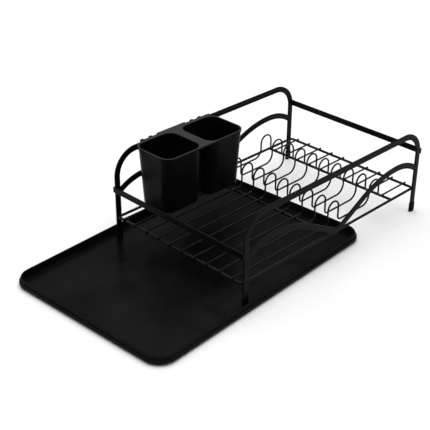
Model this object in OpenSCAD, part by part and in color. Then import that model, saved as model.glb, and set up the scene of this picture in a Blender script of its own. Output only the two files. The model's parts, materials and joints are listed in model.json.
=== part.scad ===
// Dish drying rack: a powder-coated steel rack of bent flat bar and wire, a cutlery holder
// that hangs on the left rail, and a drip tray that slides under the front half.
// +X is to the right and +Y to the rear of someone who faces the front; +Z is up.
// The origin is on the worktop, midway between the side frames, in line with the front legs.

/* [Side frames] */
// Distance between the middle planes of the two side frames
frame_w = 284; // [236:1:345]
// Distance between the centre lines of the front and rear legs
leg_span = 418; // [405:1:505]
// Height of the top rail's centre line
rail_z = 151; // [126:1:182]
// Depth of the flat bar, seen from the side
bar_depth = 10; // [8:0.5:12]
// Thickness of the flat bar
bar_t = 3.2; // [2.5:0.1:4]
// Radius of both top bends at the bar's centre line
bend_r = 40; // [30:1:44]

/* [Wave bars] */
// Depth of the wave bar, seen from the side
wave_depth = 10; // [8:0.5:12]
// Thickness of the wave bar
wave_t = 3; // [2:0.1:4]
// Height of the two crests' centre line
crest_z = 101.5; // [92:0.5:108]
// Distance of each crest from its leg
crest_y = 57; // [48:1:66]
// Bend radius from a crest to its leg
crest_r_leg = 92; // [85:1:115]
// Bend radius from a crest towards the valley
crest_r_mid = 183; // [160:1:200]
// Bend radius at the bottom of the valley
valley_r = 15; // [10:1:20]
// How far the valley's lower edge reaches below the border wire's centre line
valley_reach = 0.6; // [0.5:0.1:3]

/* [Crossbars] */
// Height of the crossbars' faces
cross_h = 10; // [8:0.5:14]
// Thickness of the crossbars
cross_t = 3; // [2:0.1:4]
// Height of the rail's centre line above the front crossbar's
front_cross_drop = 59.6; // [50:0.2:66]
// Height of the rail's centre line above the rear crossbar's
rear_cross_drop = 38; // [36:0.5:46]
// How far the crossbars reach past the side frames
cross_over = 0.4; // [0:0.1:3]

/* [Wire basket] */
// Diameter of the border wire and the two cross wires
border_d = 4.5; // [3.6:0.1:5.5]
// Diameter of the plate wires
wire_d = 3; // [2.4:0.1:3.6]
// Height of the border wire's centre line
border_z = 42; // [36:0.5:44]
// Corner radius of the border wire at its centre line
border_r = 6; // [4:0.5:14]
// How far the border wire's front run stands in front of the front legs' centre line
border_front = 4.4; // [0:0.2:6]
// How far the border wire's rear run stands behind the rear legs' centre line
border_rear = 2.8; // [0:0.2:6]
// Distance of the middle cross wire from the front legs
mid_cross_y = 196.5; // [180:0.5:200]
// Distance of the rear cross wire from the rear legs
rear_cross_in = 58.5; // [50:0.5:66]
// Number of plate wires
wires = 10; // [8:1:11]
// Distance of the outermost plate wires from the border wire's sides
wire_in = 17; // [10:0.5:24]
// How far the plate wires run past the border wire at the rear
wire_over = 1.6; // [0.5:0.1:3]
// How far the plate wires' front ends curl round the border wire, in degrees
curl_angle = 100; // [60:5:120]
// Depth of the crossing welds
weld = 0.05; // [0:0.01:0.1]

/* [Plate humps] */
// Height of the humps' tops at the wire's centre line
hump_z = 84; // [76:0.5:96]
// Bend radius of the humps' tops
hump_r = 13; // [10:0.5:15]
// Distance of the front hump's middle from the front legs
front_hump_y = 224.5; // [220:0.5:236]
// Distance of the rear hump's middle from the rear legs
rear_hump_in = 87; // [84:0.5:90]
// Bend radius at the foot of each front hump
front_foot_r = 7; // [4:0.5:9]
// Bend radius where a plate wire climbs to its rear hump
climb_r = 16; // [8:0.5:20]
// Bend radius behind each rear hump
rear_foot_r = 11; // [6:0.5:12]

/* [Foot caps] */
// Height of the foot caps
cap_h = 16; // [12:0.5:20]
// Wall of the foot caps round the bar
cap_wall = 1.1; // [0.8:0.1:1.6]
// Thickness under the bar's end
cap_base = 2; // [1.5:0.1:3]
// Gap between the caps and the bar
cap_gap = 0.03; // [0.01:0.01:0.1]

/* [Drip tray] */
// How much wider the tray is than the distance between the side frames
tray_over = 35.5; // [34:0.5:60]
// Outer length of the tray
tray_l = 478.5; // [398:0.5:575]
// Outer corner radius of the tray
tray_r = 30; // [24:1:40]
// Height of the tray's rim
tray_h = 14; // [12:0.5:18]
// Thickness of the tray's floor and walls
tray_wall = 2; // [1.6:0.1:2.4]
// Distance of the raised ridge from the tray's outer edge
ridge_u = 2.6; // [2:0.1:3.4]
// Width of the raised ridge
ridge_w = 3.4; // [3.2:0.1:4.4]
// How far the ledge outside the ridge lies below the rim's top
ledge_drop = 5.4; // [4:0.1:7]
// Radius of the ridge's crown and of the ledge's edge
crown_r = 1.6; // [1:0.1:1.6]
// Height of the outer skirt's lower edge
skirt_z = 3; // [2:0.5:5]
// How far the inner wall leans in from the ridge to the floor
wall_lean = 2.2; // [1.5:0.1:4]
// Fillet between the inner wall and the floor
fillet = 1.3; // [0.8:0.1:2]
// How far the tray's middle lies to the left of the rack's middle
tray_left = 5.8; // [0:0.1:6]
// How far the tray's front edge stands out in front of the front legs
tray_out = 200.2; // [150:0.1:230]
// How far the tray is turned under the rack, in degrees
tray_turn = 3; // [0:0.1:3]
// Gap between the front feet and the tray's floor
foot_gap = 0.3; // [0.2:0.05:0.6]
// Diameter of the small round pit in the tray's floor
pit_d = 4.6; // [3:0.1:6]
// Distance of the pit from the front rim's inner fillet
pit_gap = 7.7; // [0:0.1:40]
// How far the pit lies to the left of the tray's middle
pit_x = 12.3; // [0:0.1:40]
// Depth of that pit
pit_depth = 1.4; // [0.6:0.1:1.4]

/* [Cutlery holder] */
// Width of the holder's rim, across the rack
holder_w = 83; // [70:0.5:96]
// Length of the holder's rim, along the rail
holder_l = 177; // [150:1:190]
// Gap between the cups' base and the plate wires
holder_clear = 11.2; // [4:0.1:30]
// Distance of the holder's front end from the front legs
holder_y = 29.5; // [26:0.5:60]
// Gap between the holder's rim and the rail
holder_gap = 2.9; // [1:0.1:5]
// Wall of the holder
holder_wall = 1.5; // [1.2:0.1:2]
// Width of the web between the two cups
web_w = 17; // [12:0.5:20]
// Width of the rim's shelf on the rail side
shelf_w = 4; // [3:0.5:8]
// Width of the rim round the other sides of the mouths
lip = 2.4; // [2:0.1:3]
// Thickness of the rim
rim_t = 3; // [2:0.1:3.6]
// Corner radius of the cups' mouths
mouth_r = 17.5; // [12:0.5:20]
// Rounding round the cups' base
base_round = 3; // [1:0.5:4]
// How far the long sides lean in at the base
lean_x = 6; // [3:0.1:8]
// How far the short outer ends lean in at the base
lean_y = 5; // [2:0.1:7]
// Length of the broad hook in the middle
mid_hook_l = 60; // [40:1:70]
// Number of narrow hooks on each side of the broad one
side_hooks = 2; // [1:1:2]
// Spacing of the narrow hooks
hook_pitch = 18; // [14:0.5:20]
// Width of the narrow hooks
hook_w = 4; // [3:0.5:8]
// How far the hooks' middle lies behind the holder's middle
hook_shift = 2.7; // [0:0.1:4]
// How far each hook reaches down behind the rail
hook_drop = 9; // [6:0.5:11]
// Thickness of the hooks
hook_t = 3; // [2:0.1:3.6]
// Outer rounding of the hooks
hook_r = 3; // [1:0.1:3.4]
// Gap between the hooks and the rail
hook_gap = 0.5; // [0.3:0.05:0.8]
// Length of the flange that carries the hooks
flange_l = 150; // [130:1:156]
// Distance from the holder's rear end to the flange's
flange_rear = 2.5; // [0:0.5:10]
// How far the flange's edge stays inside the rail's outer face, between the hooks
flange_in = 2.2; // [0:0.1:2.4]

/* [Hidden] */
$fn = 64;

coated_steel = [0.11, 0.11, 0.115];
foot_rubber = [0.05, 0.05, 0.05];
black_plastic = [0.09, 0.09, 0.095];

// Side frames
frame_x = frame_w / 2;
front_foot_z = tray_wall + foot_gap;

// Wire basket
border_x = frame_x - bar_t / 2 - border_d / 2 + weld;
border_y0 = -border_front;
border_y1 = leg_span + border_rear;
wire_z = border_z + (border_d + wire_d) / 2 - weld;
wire_x0 = -border_x + wire_in;
wire_pitch = -2 * wire_x0 / (wires - 1);
rear_cross_y = leg_span - rear_cross_in;
rear_hump_y = leg_span - rear_hump_in;
curl_r = (border_d + wire_d) / 2 - weld;
hump_centre_z = hump_z - hump_r;

// Wave bars: the straight stretch is the common tangent of the crest's and the valley's bends
wave_mid = leg_span / 2;
wave_inset = bar_depth / 2 - weld;
valley_z = border_z + wave_depth / 2 - valley_reach;
bends_r = crest_r_mid + valley_r;
run_y = wave_mid - crest_y;
run_z = bends_r - (crest_z - valley_z);
valley_slope = atan2(run_y, run_z) - acos(bends_r / norm([run_y, run_z]));

// Crossbars
cross_y = (bar_depth + cross_t) / 2 - weld;

// Foot caps
cap_w = bar_t + 2 * (cap_gap + cap_wall);
cap_d = bar_depth + 2 * (cap_gap + cap_wall);

// Drip tray: the rim's section, as distances in from the outer edge and heights
tray_w = frame_w + tray_over;
tray_mid_y = tray_l / 2 - tray_out;
ledge_z = tray_h - ledge_drop;
wall_foot_u = ridge_u + ridge_w + wall_lean;
floor_u = wall_foot_u + fillet + tray_wall;
skirt_foot = tray_wall / 5;
pit_u = wall_foot_u + fillet + pit_gap + pit_d / 2;

// Cutlery holder
holder_x0 = -frame_x + bar_t / 2 + holder_gap;
holder_x1 = holder_x0 + holder_w;
rail_top = rail_z + bar_depth / 2;
rim_z = rail_top + hook_gap + rim_t;
hook_mid_y = holder_y + holder_l / 2 + hook_shift;
hook_x = -frame_x - bar_t / 2 - hook_gap;
flange_y = holder_y + holder_l - flange_rear - flange_l;
base_z = wire_z + wire_d / 2 + holder_clear;
cup_l = (holder_l - 2 * lip - web_w) / 2;
mouth_x0 = holder_x0 + shelf_w;
mouth_x1 = holder_x1 - lip;
eps = 0.01;

// Ring sector of flat bar or wire in the YZ plane, centred on [y, z]; angles turn from +Y to +Z
module arc_at(y, z, from, to) {
    translate([0, y, z])
        rotate([90, 0, 90])
            rotate([0, 0, from])
                rotate_extrude(angle = to - from)
                    children();
}

module bar_arc(y, z, r, from, to, depth, t) {
    arc_at(y, z, from, to)
        translate([r, 0])
            square([depth, t], center = true);
}

module wire_arc(y, z, r, from, to, d) {
    arc_at(y, z, from, to)
        translate([r, 0])
            circle(d = d);
}

// Straight round wire along +Y, +Z or +X from a point
module wire_y(y, z, l, d) {
    translate([0, y, z])
        rotate([-90, 0, 0])
            cylinder(d = d, h = l);
}

module wire_z(y, z, l, d) {
    translate([0, y, z])
        cylinder(d = d, h = l);
}

module wire_x(x, y, z, l, d) {
    translate([x, y, z])
        rotate([0, 90, 0])
            cylinder(d = d, h = l);
}

// One flat bar bent edgewise: front leg, bend, rail, bend, rear leg
module side_frame(x) {
    front_z = front_foot_z + cap_base;
    bend_z = rail_z - bend_r;
    color(coated_steel)
        translate([x, 0, 0]) {
            translate([-bar_t / 2, -bar_depth / 2, front_z])
                cube([bar_t, bar_depth, bend_z - front_z]);
            bar_arc(bend_r, bend_z, bend_r, 90, 180, bar_depth, bar_t);
            translate([-bar_t / 2, bend_r, rail_z - bar_depth / 2])
                cube([bar_t, leg_span - 2 * bend_r, bar_depth]);
            bar_arc(leg_span - bend_r, bend_z, bend_r, 0, 90, bar_depth, bar_t);
            translate([-bar_t / 2, leg_span - bar_depth / 2, cap_base])
                cube([bar_t, bar_depth, bend_z - cap_base]);
        }
}

// Points round [y, z] at radius r, from one angle to another in equal steps
function arc_points(y, z, r, from, to, steps) = [
    for (k = [0:steps])
        let (a = from + (to - from) * k / steps)
        [y + r * cos(a), z + r * sin(a)]
];

// One edge of half a wave bar, from the front leg to the valley; side is 1 for the upper edge
function half_edge(side) =
    let (
        off = side * wave_depth / 2,
        leg_angle = asin((crest_y - wave_inset) / (crest_r_leg + off)),
        crest = arc_points(crest_y, crest_z - crest_r_leg, crest_r_leg + off,
            90 + leg_angle, 90, 10),
        fall = arc_points(crest_y, crest_z - crest_r_mid, crest_r_mid + off,
            90, 90 - valley_slope, 12),
        valley = arc_points(wave_mid, valley_z + valley_r, valley_r - off,
            270 - valley_slope, 270, 8)
    )
    concat(crest, [for (k = [1:len(fall) - 1]) fall[k]], valley);

function full_edge(side) =
    let (half = half_edge(side))
    concat(half, [for (k = [len(half) - 2:-1:0]) [leg_span - half[k][0], half[k][1]]]);

// Flat bar in two arches between the legs, meeting in a valley beside the border wire
module wave_bar(side) {
    inner_x = frame_x - bar_t / 2;
    upper = full_edge(1);
    lower = full_edge(-1);
    color(coated_steel)
        translate([side * (inner_x + wave_t / 2) - wave_t / 2, 0, 0])
            rotate([90, 0, 90])
                linear_extrude(wave_t)
                    polygon(concat(upper, [for (k = [len(lower) - 1:-1:0]) lower[k]]));
}

module crossbar(y, z) {
    length = frame_w + bar_t + 2 * cross_over;
    color(coated_steel)
        translate([-length / 2, y - cross_t / 2, z - cross_h / 2])
            cube([length, cross_t, cross_h]);
}

module border_corner(x, y, from) {
    translate([x, y, border_z])
        rotate([0, 0, from])
            rotate_extrude(angle = 90)
                translate([border_r, 0])
                    circle(d = border_d);
}

// Border of the basket: one wire bent to a rectangle with rounded corners
module border_wire() {
    cx = border_x - border_r;
    cy0 = border_y0 + border_r;
    cy1 = border_y1 - border_r;
    color(coated_steel) {
        border_corner(cx, cy1, 0);
        border_corner(-cx, cy1, 90);
        border_corner(-cx, cy0, 180);
        border_corner(cx, cy0, 270);
        for (y = [border_y0, border_y1])
            wire_x(-cx, y, border_z, 2 * cx, border_d);
        for (x = [-border_x, border_x])
            translate([x, 0, 0])
                wire_y(cy0, border_z, cy1 - cy0, border_d);
    }
}

// Straight wire welded between the two sides of the border
module cross_wire(y) {
    reach = border_x - border_d / 2 + weld;
    color(coated_steel)
        wire_x(-reach, y, border_z, 2 * reach, border_d);
}

// Inverted U of wire with its middle at y, standing from height foot
module hump(y, foot_in, foot_out) {
    wire_z(y - hump_r, foot_in, hump_centre_z - foot_in, wire_d);
    wire_arc(y, hump_centre_z, hump_r, 0, 180, wire_d);
    wire_z(y + hump_r, foot_out, hump_centre_z - foot_out, wire_d);
}

// One plate wire: curled over the border, flat, two humps with a dip for plates, flat again
module plate_wire(i) {
    front_in = front_hump_y - hump_r - front_foot_r;
    front_out = front_hump_y + hump_r + front_foot_r;
    climb = rear_hump_y - hump_r - climb_r;
    landing = rear_hump_y + hump_r + rear_foot_r;
    color(coated_steel)
        translate([wire_x0 + wire_pitch * (i - 1), 0, 0]) {
            wire_arc(border_y0, border_z, curl_r, 90, 90 + curl_angle, wire_d);
            wire_y(border_y0, wire_z, front_in - border_y0, wire_d);
            wire_arc(front_in, wire_z + front_foot_r, front_foot_r, 270, 360, wire_d);
            hump(front_hump_y, wire_z + front_foot_r, wire_z + front_foot_r);
            wire_arc(front_out, wire_z + front_foot_r, front_foot_r, 180, 270, wire_d);
            wire_y(front_out, wire_z, climb - front_out, wire_d);
            wire_arc(climb, wire_z + climb_r, climb_r, 270, 360, wire_d);
            hump(rear_hump_y, wire_z + climb_r, wire_z + rear_foot_r);
            wire_arc(landing, wire_z + rear_foot_r, rear_foot_r, 180, 270, wire_d);
            wire_y(landing, wire_z, border_y1 + wire_over - landing, wire_d);
        }
}

// Rounded bar section, used for the foot caps
module cap_section(w, d) {
    union() {
        square([w, d - w], center = true);
        for (s = [-1, 1])
            translate([0, s * (d - w) / 2])
                circle(d = w);
    }
}

// Cap pushed over the end of a leg
module foot_cap(x, y, z) {
    color(foot_rubber)
        translate([x, y, z])
            difference() {
                linear_extrude(cap_h)
                    cap_section(cap_w, cap_d);
                translate([-bar_t / 2 - cap_gap, -bar_depth / 2 - cap_gap, cap_base])
                    cube([bar_t + 2 * cap_gap, bar_depth + 2 * cap_gap, cap_h]);
            }
}

// Section of the tray's rim. The first coordinate is the distance in from the outer edge.
function rim_points() =
    let (
        ridge_mid = ridge_u + ridge_w / 2,
        crown_z = tray_h - crown_r,
        crown = [for (a = [30:30:150]) [
            ridge_mid + ridge_w / 2 * cos(a),
            crown_z + crown_r * sin(a)
        ]],
        shoulder = [for (a = [90:30:180]) [
            crown_r + crown_r * cos(a),
            ledge_z - crown_r + crown_r * sin(a)
        ]],
        under_z = ledge_z - tray_wall
    )
    concat(
        [[floor_u, 0], [floor_u, tray_wall], [wall_foot_u + fillet, tray_wall]],
        [[wall_foot_u, tray_wall + fillet], [ridge_u + ridge_w, crown_z]],
        crown,
        [[ridge_u, crown_z], [ridge_u, ledge_z]],
        shoulder,
        [[0, skirt_z], [tray_wall, skirt_z], [tray_wall, under_z]],
        [[ridge_u + ridge_w - skirt_foot, under_z]],
        [[wall_foot_u - tray_wall + skirt_foot, 2 * skirt_foot]],
        [[wall_foot_u - tray_wall + 3 * skirt_foot, 0]]
    );

module rim_section() {
    polygon([for (p = rim_points()) [tray_r - p[0], p[1]]]);
}

module rounded_plate(w, l, r, h) {
    linear_extrude(h)
        union() {
            square([w - 2 * r, l], center = true);
            square([w, l - 2 * r], center = true);
            for (sx = [-1, 1], sy = [-1, 1])
                translate([sx * (w / 2 - r), sy * (l / 2 - r)])
                    circle(r = r);
        }
}

module rim_corner(sx, sy, from) {
    translate([sx * (tray_w / 2 - tray_r), sy * (tray_l / 2 - tray_r), 0])
        rotate([0, 0, from])
            rotate_extrude(angle = 90)
                rim_section();
}

// Straight rim of length l, whose outer edge faces the direction turn
module rim_side(half, l, turn) {
    rotate([0, 0, turn])
        translate([half - tray_r, l / 2, 0])
            rotate([90, 0, 0])
                linear_extrude(l)
                    rim_section();
}

module tray_shape() {
    rounded_plate(tray_w - 2 * floor_u, tray_l - 2 * floor_u, tray_r - floor_u, tray_wall);
    rim_corner(1, 1, 0);
    rim_corner(-1, 1, 90);
    rim_corner(-1, -1, 180);
    rim_corner(1, -1, 270);
    for (turn = [0, 180])
        rim_side(tray_w / 2, tray_l - 2 * tray_r, turn);
    for (turn = [90, 270])
        rim_side(tray_l / 2, tray_w - 2 * tray_r, turn);
}

module drip_tray() {
    color(black_plastic)
        translate([-tray_left, tray_mid_y, 0])
            rotate([0, 0, tray_turn])
                difference() {
                    tray_shape();
                    translate([-pit_x, -tray_l / 2 + pit_u, tray_wall - pit_depth])
                        cylinder(d = pit_d, h = pit_depth + 1);
                }
}

// Thin rounded slice, given by its low and high corners
module slice(x0, y0, x1, y1, r, z) {
    translate([(x0 + x1) / 2, (y0 + y1) / 2, z])
        rounded_plate(x1 - x0, y1 - y0, r, eps);
}

// Solid of one cup with its mouth from y0 to y1, grown outwards by grow, from base z to the top
module cup_solid(y0, y1, lean0, lean1, grow, z, top) {
    x0 = mouth_x0 - grow;
    x1 = mouth_x1 + grow;
    v0 = y0 - grow;
    v1 = y1 + grow;
    r = mouth_r + grow;
    in = base_round;
    hull($fn = 32) {
        slice(x0, v0, x1, v1, r, top - eps);
        slice(x0 + lean_x, v0 + lean0, x1 - lean_x, v1 - lean1, r - in, z + in);
        slice(x0 + lean_x + in, v0 + lean0 + in, x1 - lean_x - in, v1 - lean1 - in, r - 2 * in, z);
    }
}

// Both cups, grown outwards by grow
module cups(grow, z, top) {
    y0 = holder_y + lip;
    y1 = y0 + cup_l + web_w;
    cup_solid(y0, y0 + cup_l, lean_y, 0, grow, z, top);
    cup_solid(y1, y1 + cup_l, 0, lean_y, grow, z, top);
}

// Hook over the rail of length l, with its middle at y
module rail_hook(y, l) {
    root_x = mouth_x0 - holder_wall;
    outer_x = hook_x - hook_t;
    tip_z = rail_top - hook_drop;
    crown = [for (a = [90:22.5:180]) [
        outer_x + hook_r + hook_r * cos(a),
        rim_z - hook_r + hook_r * sin(a)
    ]];
    translate([0, y + l / 2, 0])
        rotate([90, 0, 0])
            linear_extrude(l)
                polygon(concat(
                    [[root_x, rim_z]],
                    crown,
                    [[outer_x, tip_z], [hook_x - hook_t / 2, tip_z]],
                    [[hook_x, tip_z + hook_t / 2], [hook_x, rim_z - rim_t], [root_x, rim_z - rim_t]]
                ));
}

// Flange from the rim to just over the rail, which carries the hooks
module hook_flange() {
    edge_x = -frame_x - bar_t / 2 + flange_in;
    translate([edge_x, flange_y, rim_z - rim_t])
        cube([mouth_x0 - holder_wall - edge_x, flange_l, rim_t]);
}

// Two cups moulded in one piece with a flat rim, a web between them and hooks on the rail side
module cutlery_holder() {
    first_hook = (mid_hook_l - hook_w) / 2;
    color(black_plastic)
        difference() {
            union() {
                cups(holder_wall, base_z, rim_z - eps);
                translate([holder_x0 + holder_w / 2, holder_y + holder_l / 2, rim_z - rim_t])
                    rounded_plate(holder_w, holder_l, mouth_r + lip, rim_t);
                hook_flange();
                rail_hook(hook_mid_y, mid_hook_l);
                for (side = [-1, 1], k = [1:side_hooks])
                    rail_hook(hook_mid_y + side * (first_hook + k * hook_pitch), hook_w);
            }
            cups(0, base_z + holder_wall, rim_z + 1);
        }
}

side_frame(-frame_x);  // left_side_frame
side_frame(frame_x);  // right_side_frame
wave_bar(-1);  // left_wave_bar
wave_bar(1);  // right_wave_bar
crossbar(-cross_y, rail_z - front_cross_drop);  // front_crossbar
crossbar(leg_span + cross_y, rail_z - rear_cross_drop);  // rear_crossbar
border_wire();
cross_wire(mid_cross_y);  // middle_cross_wire
cross_wire(rear_cross_y);  // rear_cross_wire
for (i = [1:wires])
    plate_wire(i);
foot_cap(-frame_x, 0, front_foot_z);  // front_left_foot
foot_cap(frame_x, 0, front_foot_z);  // front_right_foot
foot_cap(-frame_x, leg_span, 0);  // rear_left_foot
foot_cap(frame_x, leg_span, 0);  // rear_right_foot
drip_tray();
cutlery_holder();
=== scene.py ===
# %% [markdown]
# # A dish drying rack, finished for close views
# The rack is bent flat bar and wire, welded and then powder coated in satin black. A cutlery
# holder of two moulded cups hangs on the left rail, and a moulded drip tray slides under the
# front half. The solids come ready made from the frame, in metres, so this lesson is about what
# turns plain solids into coated steel, rubber and plastic: rounded edges, weld beads, surface
# grain and soft light.

# %% Load the frame
import json
import math

import bmesh
import bpy
from mathutils import Matrix, Vector, noise


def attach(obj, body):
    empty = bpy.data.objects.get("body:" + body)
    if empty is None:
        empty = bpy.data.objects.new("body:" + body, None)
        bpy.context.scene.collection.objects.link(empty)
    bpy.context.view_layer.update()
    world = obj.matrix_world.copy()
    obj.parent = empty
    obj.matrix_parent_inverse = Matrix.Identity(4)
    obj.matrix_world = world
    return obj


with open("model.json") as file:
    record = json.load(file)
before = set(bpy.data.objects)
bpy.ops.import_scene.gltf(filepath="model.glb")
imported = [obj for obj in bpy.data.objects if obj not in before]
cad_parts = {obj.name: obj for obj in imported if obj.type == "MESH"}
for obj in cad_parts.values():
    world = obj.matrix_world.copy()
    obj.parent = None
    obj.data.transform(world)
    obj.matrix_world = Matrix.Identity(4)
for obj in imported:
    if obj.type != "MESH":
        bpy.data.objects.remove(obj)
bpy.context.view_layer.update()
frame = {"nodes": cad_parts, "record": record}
nodes = frame["nodes"]
MM = 0.001
MM_IN_METRE = 1000.0

# %% [markdown]
# ## The camera
# A product is often shown from a corner, a little above it, with a longish lens from about a
# metre and a half away. The camera's place, heading and tilt are set as plain numbers, and its
# three axes are built from them: right, up and backwards. A longer lens flattens the view, and
# keeps the rails nearly parallel.

# %% Place the camera
CAMERA_PLACE = Vector((0.9713, -0.8990, 0.8533))
HEADING, TILT, ROLL = math.radians(44.8), math.radians(29.66), math.radians(0.36)
LENS_MM, SENSOR_MM = 84.1, 36.0
NEAREST, FARTHEST = 0.05, 100.0


def camera_axes(heading, tilt, roll):
    """Right, up and backward directions of a camera that looks down at the tilt angle."""
    level_share = math.cos(tilt)
    back = Vector((
        math.sin(heading) * level_share, -math.cos(heading) * level_share, math.sin(tilt)))
    level = Vector((math.cos(heading), math.sin(heading), 0.0))
    straight = back.cross(level)
    right = math.cos(roll) * level + math.sin(roll) * straight
    return right, back.cross(right), back


camera_data = bpy.data.cameras.new("camera")
camera_data.lens, camera_data.sensor_width = LENS_MM, SENSOR_MM
camera_data.clip_start, camera_data.clip_end = NEAREST, FARTHEST
camera = bpy.data.objects.new("camera", camera_data)
bpy.context.scene.collection.objects.link(camera)
right, up, back = camera_axes(HEADING, TILT, ROLL)
camera_turn = Matrix((right, up, back)).transposed().to_4x4()
camera.matrix_world = Matrix.Translation(CAMERA_PLACE) @ camera_turn
bpy.context.scene.camera = camera
print("camera looks along", [round(v, 3) for v in -back])

# %% [markdown]
# ## The studio
# Black objects show almost nothing but reflections, so the light is the picture. A white floor
# fills the lower half of every reflection, a large soft panel overhead makes the rims and rails
# glint, and a weaker one at the left front lifts the faces turned that way. A very wide sun stands
# in for a soft white ceiling, and keeps the floor white far from the panels. The world is a soft
# grey for reflections; a Light Path node shows it paler to the camera, as a studio wall would be.

# %% Floor, world and lamps
scene = bpy.context.scene
scene.view_settings.view_transform = "Standard"


def mesh_object(name, bm):
    """A new object from a bmesh, linked to the scene."""
    mesh = bpy.data.meshes.new(name)
    bm.to_mesh(mesh)
    bm.free()
    thing = bpy.data.objects.new(name, mesh)
    scene.collection.objects.link(thing)
    return thing


def studio_floor(half_width, drop):
    """A square of paper, a hair below the surface that the rack stands on."""
    bm = bmesh.new()
    corners = [(-1, -1), (1, -1), (1, 1), (-1, 1)]
    bm.faces.new([bm.verts.new((half_width * x, half_width * y, -drop)) for x, y in corners])
    return mesh_object("studio_floor", bm)


def area_lamp(name, place, target, size, watts):
    """A square soft panel at place, turned to shine at target."""
    data = bpy.data.lights.new(name, "AREA")
    data.shape, data.size, data.energy = "SQUARE", size, watts
    lamp = bpy.data.objects.new(name, data)
    scene.collection.objects.link(lamp)
    lamp.location = place
    lamp.rotation_euler = (Vector(target) - Vector(place)).to_track_quat("-Z", "Y").to_euler()


def wide_sun(name, strength, spread, tilt):
    """A sun that lights from a wide patch of sky. spread and tilt are in degrees."""
    data = bpy.data.lights.new(name, "SUN")
    data.energy, data.angle = strength, math.radians(spread)
    lamp = bpy.data.objects.new(name, data)
    scene.collection.objects.link(lamp)
    lamp.rotation_euler = [math.radians(angle) for angle in tilt]


floor = studio_floor(half_width=9.0, drop=0.2 * MM)
world = bpy.data.worlds.new("studio")
scene.world = world
world.use_nodes = True
area_lamp("overhead_panel", place=(-0.3, 0.5, 2.1), target=(0, 0, 0), size=1.9, watts=13.0)
area_lamp("left_front_panel", place=(-1.6, -1.7, 0.9), target=(0, 0, 0.05), size=1.1, watts=6.0)
wide_sun("soft_ceiling", strength=1.5, spread=80, tilt=(-12, -10, 0))

# %% [markdown]
# ## A small tool for node trees
# Every material below is a tree of nodes. A few short helpers keep the recipes readable. One adds
# a node and sets or links its inputs, one starts a shader node group with named sockets, and the
# rest give short names to steps that come back often, such as arithmetic, noise and ramps. A group
# works like a function: it is built once, and each material gives it its own values.

# %% Node helpers
def add_node(tree, kind, inputs=None, **settings):
    """Adds a node. An input's value is a number, a colour, or another node's output socket."""
    node = tree.nodes.new(kind)
    for key, value in settings.items():
        setattr(node, key, value)
    for key, value in (inputs or {}).items():
        if isinstance(value, bpy.types.NodeSocket):
            tree.links.new(value, node.inputs[key])
        else:
            node.inputs[key].default_value = value
    return node


def new_group(name, inputs, outputs):
    """Starts a shader node group and returns its tree, its input node and its output node."""
    tree = bpy.data.node_groups.new(name, "ShaderNodeTree")
    for key, value in inputs.items():
        socket = tree.interface.new_socket(name=key, in_out="INPUT", socket_type="NodeSocketFloat")
        socket.default_value = value
    for key in outputs:
        tree.interface.new_socket(name=key, in_out="OUTPUT", socket_type="NodeSocketFloat")
    return tree, add_node(tree, "NodeGroupInput"), add_node(tree, "NodeGroupOutput")


def place_group(tree, group, inputs):
    """Adds a node group to a tree, with this material's own values."""
    return add_node(tree, "ShaderNodeGroup", inputs, node_tree=group)


def math_node(tree, operation, a, b, clamp=False):
    """One step of arithmetic."""
    settings = {"operation": operation, "use_clamp": clamp}
    return add_node(tree, "ShaderNodeMath", {0: a, 1: b}, **settings).outputs[0]


def object_place(tree):
    """The point on the surface, in the piece's own metres."""
    return add_node(tree, "ShaderNodeTexCoord").outputs["Object"]


def noise_node(tree, where, scale, detail, roughness=0.5):
    """Cloudy noise, mostly near a half."""
    inputs = {"Vector": where, "Scale": scale, "Detail": detail, "Roughness": roughness}
    return add_node(tree, "ShaderNodeTexNoise", inputs).outputs["Fac"]


def ramp(tree, value, start, end, low=0.0, high=1.0):
    """Spreads the stretch from start to end over low to high, and stops at both."""
    inputs = {0: value, 1: start, 2: end, 3: low, 4: high}
    return add_node(tree, "ShaderNodeMapRange", inputs).outputs[0]


# %% [markdown]
# ## Two greys for the world
# The walls of a studio are seen by the camera, and they also light every surface and show in the
# glossy ones. One grey for both would either dull the background or wash out the black coating.
# So a Light Path node picks: near white for what the camera sees, and about half as bright for
# everything else.

# %% World nodes
WHITE = (1, 1, 1, 1)


def build_world(tree, seen, reflected):
    """The camera sees one grey and reflections see another."""
    tree.nodes.clear()
    path = add_node(tree, "ShaderNodeLightPath")
    near = add_node(tree, "ShaderNodeBackground", {"Color": WHITE, "Strength": reflected})
    far = add_node(tree, "ShaderNodeBackground", {"Color": WHITE, "Strength": seen})
    mix = add_node(tree, "ShaderNodeMixShader", {
        0: path.outputs["Is Camera Ray"], 1: near.outputs[0], 2: far.outputs[0]})
    add_node(tree, "ShaderNodeOutputWorld", {"Surface": mix.outputs[0]})


build_world(world.node_tree, seen=0.95, reflected=0.50)
print("world nodes", len(world.node_tree.nodes))

# %% [markdown]
# ## Grain, patches, edges and a painted top sheen
# Four effects are shared. Grain is the fine orange-peel of baked powder, or the spark-eroded
# texture of a mould, depending on its size. Patches are slow changes in tone and gloss, as every
# coating and moulding has. Edges are found by comparing the true normal with one smoothed over a
# small radius: where they differ there is an edge, and noise breaks it up. Edges are painted paler,
# partly as wear and partly as a painted highlight of the light a rounded rim catches. The top
# sheen paints the level faces paler, a painted highlight of the light they catch.

# %% Shared effect groups
FINE_STEP = 3.7
STREAK_STEP = 4.0
EDGE_NOISE_SCALE = 180.0
TOP_NOISE_SCALE = 240.0
EDGE_SAMPLES = 4


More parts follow.
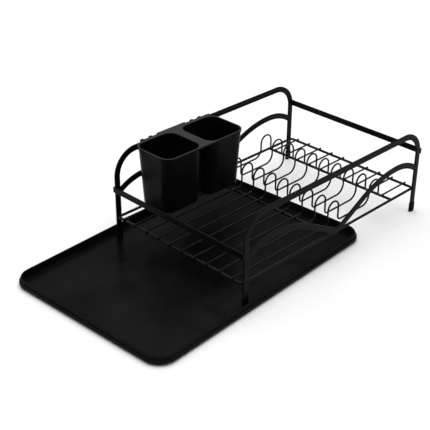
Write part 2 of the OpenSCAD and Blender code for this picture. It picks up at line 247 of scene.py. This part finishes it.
def build_grain():
    """Two sizes of bumps, and the few flecks where the fine ones are highest."""
    inputs = {"Size mm": 1.0, "Fine": 0.3}
    tree, gin, out = new_group("surface_grain", inputs, ["Height", "Fleck"])
    where = object_place(tree)
    scale = math_node(tree, "DIVIDE", MM_IN_METRE, gin.outputs["Size mm"])
    coarse = noise_node(tree, where, scale, detail=3.0)
    fine_scale = math_node(tree, "MULTIPLY", scale, FINE_STEP)
    fine = noise_node(tree, where, fine_scale, detail=1.0)
    small = math_node(tree, "MULTIPLY", fine, gin.outputs["Fine"])
    tree.links.new(math_node(tree, "ADD", coarse, small), out.inputs["Height"])
    tree.links.new(ramp(tree, fine, 0.62, 0.78), out.inputs["Fleck"])
    return tree


def build_patches():
    """Slow clouds, and finer streaks that can be squeezed along X."""
    tree, gin, out = new_group("slow_patches", {"Size mm": 60.0, "Stretch": 1.0}, ["Value", "Streak"])
    where = object_place(tree)
    scale = math_node(tree, "DIVIDE", MM_IN_METRE, gin.outputs["Size mm"])
    cloud = noise_node(tree, where, scale, detail=4.0, roughness=0.55)
    squeeze = add_node(tree, "ShaderNodeCombineXYZ", {0: gin.outputs["Stretch"], 1: 1.0, 2: 1.0})
    across = {0: where, 1: squeeze.outputs[0]}
    along = add_node(tree, "ShaderNodeVectorMath", across, operation="MULTIPLY").outputs[0]
    streak_scale = math_node(tree, "MULTIPLY", scale, STREAK_STEP)
    streak = noise_node(tree, along, streak_scale, detail=5.0, roughness=0.7)
    tree.links.new(cloud, out.inputs["Value"])
    tree.links.new(streak, out.inputs["Streak"])
    return tree


def build_edges():
    """A mask of the edges, broken up by noise. It paints them paler, partly as wear and partly as a
    painted highlight.
    """
    tree, gin, out = new_group("edge_wear_and_highlight", {"Radius": 0.0008, "Amount": 1.0}, ["Mask"])
    where = object_place(tree)
    true_normal = add_node(tree, "ShaderNodeNewGeometry").outputs["Normal"]
    radius = {"Radius": gin.outputs["Radius"]}
    smooth = add_node(tree, "ShaderNodeBevel", radius, samples=EDGE_SAMPLES).outputs[0]
    both = {0: true_normal, 1: smooth}
    agree = add_node(tree, "ShaderNodeVectorMath", both, operation="DOT_PRODUCT").outputs["Value"]
    edge = math_node(tree, "SUBTRACT", 1.0, agree, clamp=True)
    broken = noise_node(tree, where, EDGE_NOISE_SCALE, detail=6.0, roughness=0.7)
    broken_edge = math_node(tree, "MULTIPLY", edge, ramp(tree, broken, 0.42, 0.62, low=0.2))
    strong = math_node(tree, "MULTIPLY", broken_edge, gin.outputs["Amount"], clamp=True)
    tree.links.new(strong, out.inputs["Mask"])
    return tree


def build_tops():
    """A painted highlight: a mask of the faces that look up, a little uneven."""
    tree, gin, out = new_group("painted_top_sheen", {"Amount": 1.0}, ["Mask"])
    where = object_place(tree)
    normal = add_node(tree, "ShaderNodeNewGeometry").outputs["Normal"]
    upward = add_node(tree, "ShaderNodeSeparateXYZ", {0: normal}).outputs["Z"]
    # Painted highlight: faces that look up are painted paler, for the light they catch.
    level = ramp(tree, upward, 0.55, 0.95)
    broken = noise_node(tree, where, TOP_NOISE_SCALE, detail=5.0, roughness=0.75)
    uneven = math_node(tree, "MULTIPLY", level, ramp(tree, broken, 0.35, 0.65, low=0.7))
    strong = math_node(tree, "MULTIPLY", uneven, gin.outputs["Amount"], clamp=True)
    tree.links.new(strong, out.inputs["Mask"])
    return tree


GRAIN, PATCHES, EDGES, TOPS = build_grain(), build_patches(), build_edges(), build_tops()
print("groups", [g.name for g in bpy.data.node_groups])

# %% [markdown]
# ## One recipe for every black finish
# Powder coat, rubber and moulded plastic are all black here, and differ in gloss, grain, wear and
# how much painted highlight their edges and level faces get. So one function lays out the tree,
# and each finish gives its own numbers. The Principled shader stays in the material: its plain
# constants sit on its own sockets, and only what changes over the surface is linked.

# %% The finish function
PATCH_LIFT = 0.12
FLECK_LIFT = 0.15
EDGE_POLISH = -0.12
BLUE_CAST = 1.04
MIX_FROM, MIX_TO, MIX_COLOUR = 6, 7, 2


def cool_grey(value):
    """A grey that leans a little to blue."""
    return value, value, value * BLUE_CAST, 1.0


def black_finish(name, dark, pale, roughness, specular, grain_mm, bump_mm, edge_wear_and_shine, top=0.0,
                 edge_mm=0.8, patch_mm=60.0, stretch=1.0, spread=0.08, fine=0.3):
    """dark and pale are greys; the painted edge and top highlights reach pale. The roughness wanders
    by spread either way.
    """
    material = bpy.data.materials.new(name)
    material.use_nodes = True
    tree = material.node_tree
    tree.nodes.clear()
    grain = place_group(tree, GRAIN, {"Size mm": grain_mm, "Fine": fine})
    patch = place_group(tree, PATCHES, {"Size mm": patch_mm, "Stretch": stretch})
    edge = place_group(tree, EDGES, {"Amount": edge_wear_and_shine, "Radius": edge_mm * MM})
    tops = place_group(tree, TOPS, {"Amount": top})
    tone = ramp(tree, patch.outputs["Value"], 0.3, 0.7, high=PATCH_LIFT)
    flecked = math_node(tree, "MULTIPLY", grain.outputs["Fleck"], FLECK_LIFT)
    lighter = math_node(tree, "ADD", tone, flecked, clamp=True)
    # Painted highlight: the edge mask, partly wear, and the top sheen lift the colour towards the
    # pale grey.
    worn_and_lit = math_node(tree, "MAXIMUM", edge.outputs["Mask"], tops.outputs["Mask"])
    lightest = math_node(tree, "MAXIMUM", lighter, worn_and_lit)
    colour = add_node(tree, "ShaderNodeMix", {0: lightest}, data_type="RGBA")
    colour.inputs[MIX_FROM].default_value = cool_grey(dark)
    colour.inputs[MIX_TO].default_value = cool_grey(pale)
    wander = ramp(
        tree, patch.outputs["Streak"], 0.3, 0.7, low=roughness - spread, high=roughness + spread)
    polish = math_node(tree, "MULTIPLY", edge.outputs["Mask"], EDGE_POLISH)
    bump = add_node(tree, "ShaderNodeBump", {
        "Height": grain.outputs["Height"], "Distance": bump_mm * MM})
    shader = add_node(tree, "ShaderNodeBsdfPrincipled", {
        "Base Color": colour.outputs[MIX_COLOUR],
        "Roughness": math_node(tree, "ADD", wander, polish, clamp=True),
        "Normal": bump.outputs[0],
        "Specular IOR Level": specular})
    add_node(tree, "ShaderNodeOutputMaterial", {"Surface": shader.outputs[0]})
    return material


# %% [markdown]
# ## Five finishes
# The flat bar has the thickest powder and the clearest orange-peel. The wires carry less of it.
# The foot caps are matt rubber. The tray has a fine spark-eroded texture and a tight, dim sheen,
# and a strong edge mask paints a highlight along its rim crown. The holder's texture is shallower,
# its sheen is broader and a little stronger, and its level faces carry a painted pale top sheen.

# %% Finishes of the pieces
finishes = {
    "coated_steel": black_finish(
        "powder_coated_bar", dark=0.0014, pale=0.022, roughness=0.42, specular=0.050,
        grain_mm=0.9, bump_mm=0.03, edge_wear_and_shine=0.5),
    "coated_wire": black_finish(
        "powder_coated_wire", dark=0.0014, pale=0.012, roughness=0.30, specular=0.10,
        grain_mm=0.7, bump_mm=0.015, edge_wear_and_shine=0.3),
    "foot_rubber": black_finish(
        "foot_rubber", dark=0.0012, pale=0.008, roughness=0.70, specular=0.05,
        grain_mm=0.5, bump_mm=0.03, edge_wear_and_shine=0.3),
    # The strong, wide edge mask paints a highlight along the tray's rim crown, besides some edge
    # wear.
    "tray_plastic": black_finish(
        "tray_plastic", dark=0.0006, pale=0.050, roughness=0.24, specular=0.027,
        grain_mm=0.45, bump_mm=0.012, edge_wear_and_shine=1.2,
        edge_mm=2.0, patch_mm=140.0, stretch=0.7, spread=0.02, fine=0.6),
    # top=1.0 paints a pale highlight on the holder's level web and rim.
    "holder_plastic": black_finish(
        "holder_plastic", dark=0.0008, pale=0.032, roughness=0.34, specular=0.050,
        grain_mm=0.5, bump_mm=0.008, edge_wear_and_shine=0.6,
        top=1.0, patch_mm=70.0, stretch=3.0),
}
slot_of = {part["node"]: part["material_slot"] for part in frame["record"]["subparts"]}
for name, thing in nodes.items():
    for slot in thing.material_slots:
        slot.material = finishes[slot_of[name]]
print("finishes on", len(slot_of), "nodes")

# %% [markdown]
# ## Paper under the rack
# A product studio rolls out a sheet of white paper, so that the floor has no edge in view. Paper
# is matt, so a Principled shader with a high roughness and little specular is enough. It has no
# texture of its own, because the soft shadows should be all that shows on it.

# %% Floor finish
floor_material = bpy.data.materials.new("studio_paper")
floor_material.use_nodes = True
paper = floor_material.node_tree.nodes["Principled BSDF"]
paper.inputs["Base Color"].default_value = (0.9, 0.9, 0.9, 1.0)
paper.inputs["Roughness"].default_value = 0.9
paper.inputs["Specular IOR Level"].default_value = 0.1
floor.data.materials.append(floor_material)
print("floor finish", floor_material.name)

# %% [markdown]
# ## Weld beads
# Where two wires cross they are pressed together and welded, and a little metal squeezes out round
# the spot. Where a crossbar or the border meets a side frame, a short seam of welding shows as
# overlapping ripples, and the ends of the cross wires have a smooth bead. All are the same shape
# here: a stretched, lumpy blob, with or without ripples along its length. The places are read from
# the boxes round the wires and bars, so a bead follows its joint.

# %% Bead builder
ALONG_X, ALONG_Y, ALONG_Z = 0, 1, 2
PLAIN_RINGS, RINGS_PER_RIPPLE, BEAD_SIDES = 10, 6, 14
RIPPLE_HEIGHT = 0.10
LUMP_HEIGHT, LUMP_SCALE, LUMP_STEP = 0.10, 1.6, 3.7


def box_of(name):
    """Low and high corners of a node, in the rack's frame."""
    thing = nodes[name]
    points = [thing.matrix_world @ v.co for v in thing.data.vertices]
    return [Vector(pick(p[k] for p in points) for k in range(3)) for pick in (min, max)]


def add_bead(bm, centre, half, along, ripples, seed):
    """A lumpy ellipsoid. half gives its half sizes in mm, and along the axis of its ripples."""
    rings = PLAIN_RINGS + RINGS_PER_RIPPLE * ripples
    axes = [along, (along + 1) % 3, (along + 2) % 3]
    offset = Vector((seed * LUMP_STEP, 0, 0))
    rows = []
    for i in range(1, rings):
        t = math.cos(math.pi * i / rings)
        wave = 1.0 + RIPPLE_HEIGHT * abs(math.sin(math.pi * ripples * (t + 1.0) / 2.0))
        width = math.sqrt(1 - t * t)
        row = []
        for k in range(BEAD_SIDES):
            turn = 2.0 * math.pi * k / BEAD_SIDES
            unit = (t, width * math.cos(turn) * wave, width * math.sin(turn) * wave)
            lump = 1.0 + LUMP_HEIGHT * noise.noise(Vector(unit) * LUMP_SCALE + offset)
            point = centre.copy()
            for axis, value in zip(axes, unit):
                point[axis] += value * half[axis] * MM * lump
            row.append(bm.verts.new(point))
        rows.append(row)
    for low, high in zip(rows, rows[1:]):
        for k in range(BEAD_SIDES):
            m = (k + 1) % BEAD_SIDES
            bm.faces.new((low[k], low[m], high[m], high[k]))
    for row, sign in ((rows[0], 1), (rows[-1], -1)):
        tip = centre.copy()
        tip[along] += sign * half[along] * MM
        top = bm.verts.new(tip)
        for k in range(BEAD_SIDES):
            bm.faces.new((top, row[k], row[(k + 1) % BEAD_SIDES]))


def bead_row(name, slot, spots):
    """One object made of many beads. Each spot is (centre, half sizes, axis, ripples)."""
    bm = bmesh.new()
    for seed, (centre, half, along, ripples) in enumerate(spots):
        add_bead(bm, centre, half, along, ripples, seed)
    bmesh.ops.recalc_face_normals(bm, faces=bm.faces)
    thing = mesh_object(name, bm)
    for face in thing.data.polygons:
        face.use_smooth = True
    thing.data.materials.append(finishes[slot])
    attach(thing, "rack")


# %% Beads where wires cross
CROSSING_HALF_MM = (1.75, 1.75, 0.75)

border_low, border_high = box_of("border_wire")
wire_radius = (border_high.z - border_low.z) / 2
touch_z = border_high.z
plate_boxes = [box_of(name) for name in sorted(nodes) if name.startswith("plate_wire_")]
plate_x = [(low.x + high.x) / 2 for low, high in plate_boxes]
rows = {
    "front_border_beads": border_low.y + wire_radius,
    "rear_border_beads": border_high.y - wire_radius,
    "middle_cross_beads": sum(v.y for v in box_of("middle_cross_wire")) / 2,
    "rear_cross_beads": sum(v.y for v in box_of("rear_cross_wire")) / 2,
}
for name, y in rows.items():
    spots = [(Vector((x, y, touch_z)), CROSSING_HALF_MM, ALONG_X, 0) for x in plate_x]
    bead_row(name, "coated_wire", spots)
print("crossing beads", len(rows) * len(plate_x))

# %% [markdown]
# ## Seams at the side frames
# A crossbar is welded to each side frame down most of its depth, and the border along a few
# millimetres of its side. The cross wires end at the border, with a smooth bead at each end.
# Seams could be placed by hand, but a loop over both sides keeps the left and the right alike.

# %% Seams at the side frames
CROSSBAR_HALF_MM, CROSSBAR_SHARE, CROSSBAR_RIPPLES = 0.9, 0.8, 5
BORDER_HALF_MM, BORDER_RIPPLES, BORDER_INSET_MM = (0.8, 3.2, 1.3), 2, 3.0
CROSS_WIRE_HALF_MM = (0.9, 2.2, 2.2)

seams = []
border_middle_z = border_low.z + wire_radius
for side, sign in (("left", -1), ("right", 1)):
    low, high = box_of(side + "_side_frame")
    inner = high.x if sign < 0 else low.x
    for cross, at_front in (("front_crossbar", True), ("rear_crossbar", False)):
        c_low, c_high = box_of(cross)
        place = Vector((inner, c_high.y if at_front else c_low.y, (c_low.z + c_high.z) / 2))
        half_height = (c_high.z - c_low.z) / 2 / MM * CROSSBAR_SHARE
        half = (CROSSBAR_HALF_MM, CROSSBAR_HALF_MM, half_height)
        seams.append((place, half, ALONG_Z, CROSSBAR_RIPPLES))
    for y, inward in ((border_low.y + wire_radius, 1), (border_high.y - wire_radius, -1)):
        place = Vector((inner, y + inward * BORDER_INSET_MM * MM, border_middle_z))
        seams.append((place, BORDER_HALF_MM, ALONG_Y, BORDER_RIPPLES))
    for cross in ("middle_cross_wire", "rear_cross_wire"):
        c_low, c_high = box_of(cross)
        end_x = sign * (border_high.x - 2 * wire_radius)
        place = Vector((end_x, (c_low.y + c_high.y) / 2, border_middle_z))
        seams.append((place, CROSS_WIRE_HALF_MM, ALONG_X, 0))
bead_row("leg_seams", "coated_steel", seams)
print("seams", len(seams))

# %% [markdown]
# ## Rounded edges on bars and caps
# Rolled flat bar has no sharp corners, and the coating rounds them further. Moulded rubber caps
# are rounded too. A Bevel modifier gives each sharp edge a small radius that catches a thin line
# of light. The imported meshes keep separate points on either side of an edge, so a Weld modifier
# joins them first.

# %% Soften the bars and caps
JOIN_MM = 0.002
BEVEL_STEPS = 3
SHARP_ANGLE = math.radians(38.0)
BAR_RADIUS_MM, CAP_RADIUS_MM = 0.7, 0.4


def soften(thing, radius_mm):
    """Rounds every edge of a piece that turns more sharply than the angle."""
    weld = thing.modifiers.new("join_points", "WELD")
    weld.merge_threshold = JOIN_MM * MM
    bevel = thing.modifiers.new("rolled_edge", "BEVEL")
    bevel.width, bevel.segments = radius_mm * MM, BEVEL_STEPS
    bevel.limit_method, bevel.angle_limit = "ANGLE", SHARP_ANGLE
    bevel.harden_normals = True


bars = [name for name, slot in slot_of.items() if slot == "coated_steel"]
caps = [name for name, slot in slot_of.items() if slot == "foot_rubber"]
for name in bars:
    soften(nodes[name], BAR_RADIUS_MM)
for name in caps:
    soften(nodes[name], CAP_RADIUS_MM)
print("softened", len(bars), "bars and", len(caps), "caps")
